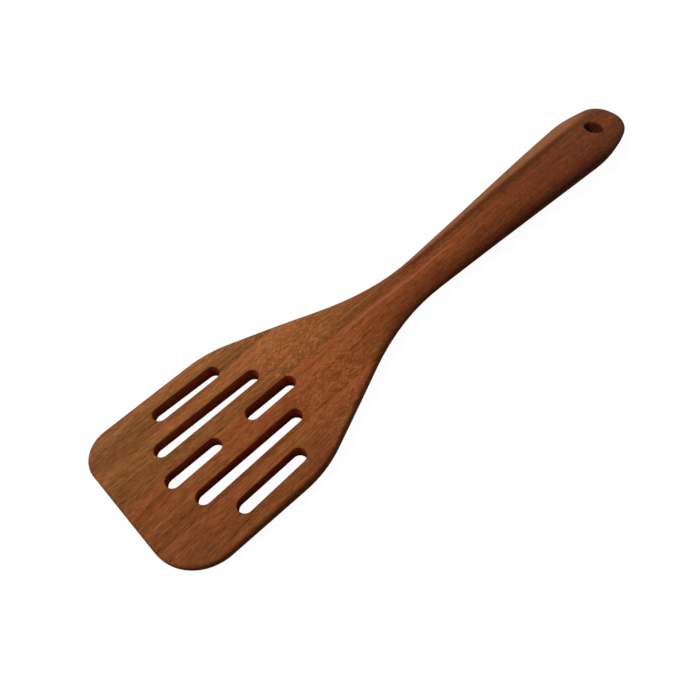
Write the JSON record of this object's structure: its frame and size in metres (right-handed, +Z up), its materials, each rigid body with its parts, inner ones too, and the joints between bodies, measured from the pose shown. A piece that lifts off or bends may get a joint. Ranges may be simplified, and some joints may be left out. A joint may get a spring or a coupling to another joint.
{
  "type": "slotted spatula",
  "caption": "Wooden kitchen spatula: flat wedge-shaped blade with drain slots, edge-glued from staves, narrowing to a rounded handle with a hanging hole.",
  "frame": {"origin": "on the flat underside, below the middle of the overall length and of the blade's width", "axes": "+X from the blade towards the end of the handle, +Y towards the blade's left side, +Z up from the underside"},
  "size_m": [0.32, 0.0701, 0.015],
  "materials": {
    "left_edge_wood": "oiled, satin",
    "left_centre_wood": "oiled, satin",
    "right_centre_wood": "oiled, satin",
    "right_edge_wood": "oiled, satin"
  },
  "bodies": {
    "root": {"left_edge_stave": "left_edge_wood", "left_centre_stave": "left_centre_wood", "right_centre_stave": "right_centre_wood", "right_edge_stave": "right_edge_wood"}
  },
  "joints": []
}
